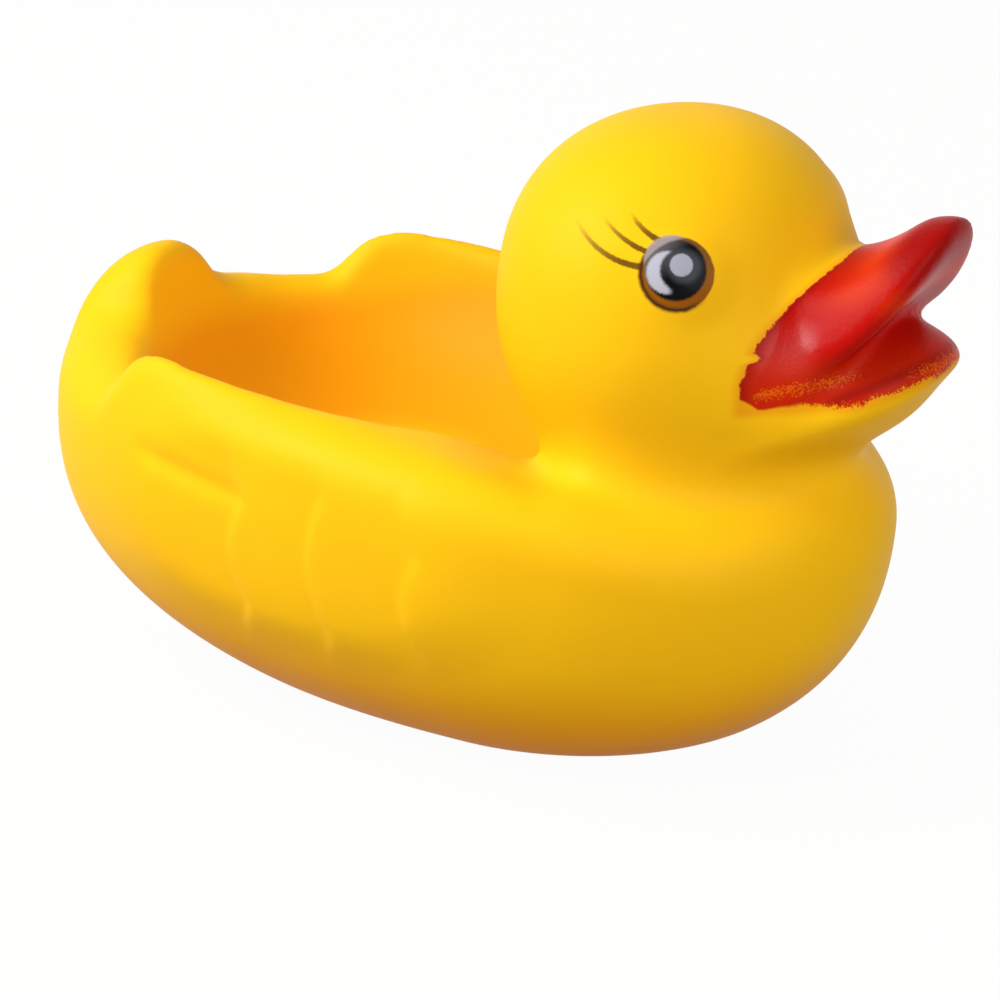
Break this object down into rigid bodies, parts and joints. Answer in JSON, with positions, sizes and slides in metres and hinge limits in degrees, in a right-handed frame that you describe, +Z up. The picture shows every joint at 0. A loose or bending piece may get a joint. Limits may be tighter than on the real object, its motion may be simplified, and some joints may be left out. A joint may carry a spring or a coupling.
{
  "type": "rubber duck",
  "caption": "Hollow soft vinyl bath duck with an open nest in its back, an upturned bill, moulded wings and tail, and a plastic squeaker plug in its flat base.",
  "frame": {"origin": "centre of the bounding box, at the level of the flat base", "axes": "+X ahead, towards the tip of the bill; +Y to the duck's left; +Z up, from the base towards the head"},
  "size_m": [0.1472, 0.0909, 0.094],
  "materials": {
    "vinyl": "satin soft vinyl, yellow, with a sprayed red bill and printed eyes and lashes",
    "squeaker_plastic": "plain white moulded plastic"
  },
  "bodies": {
    "root": {"duck_skin": "vinyl", "squeaker": "squeaker_plastic"}
  },
  "joints": []
}
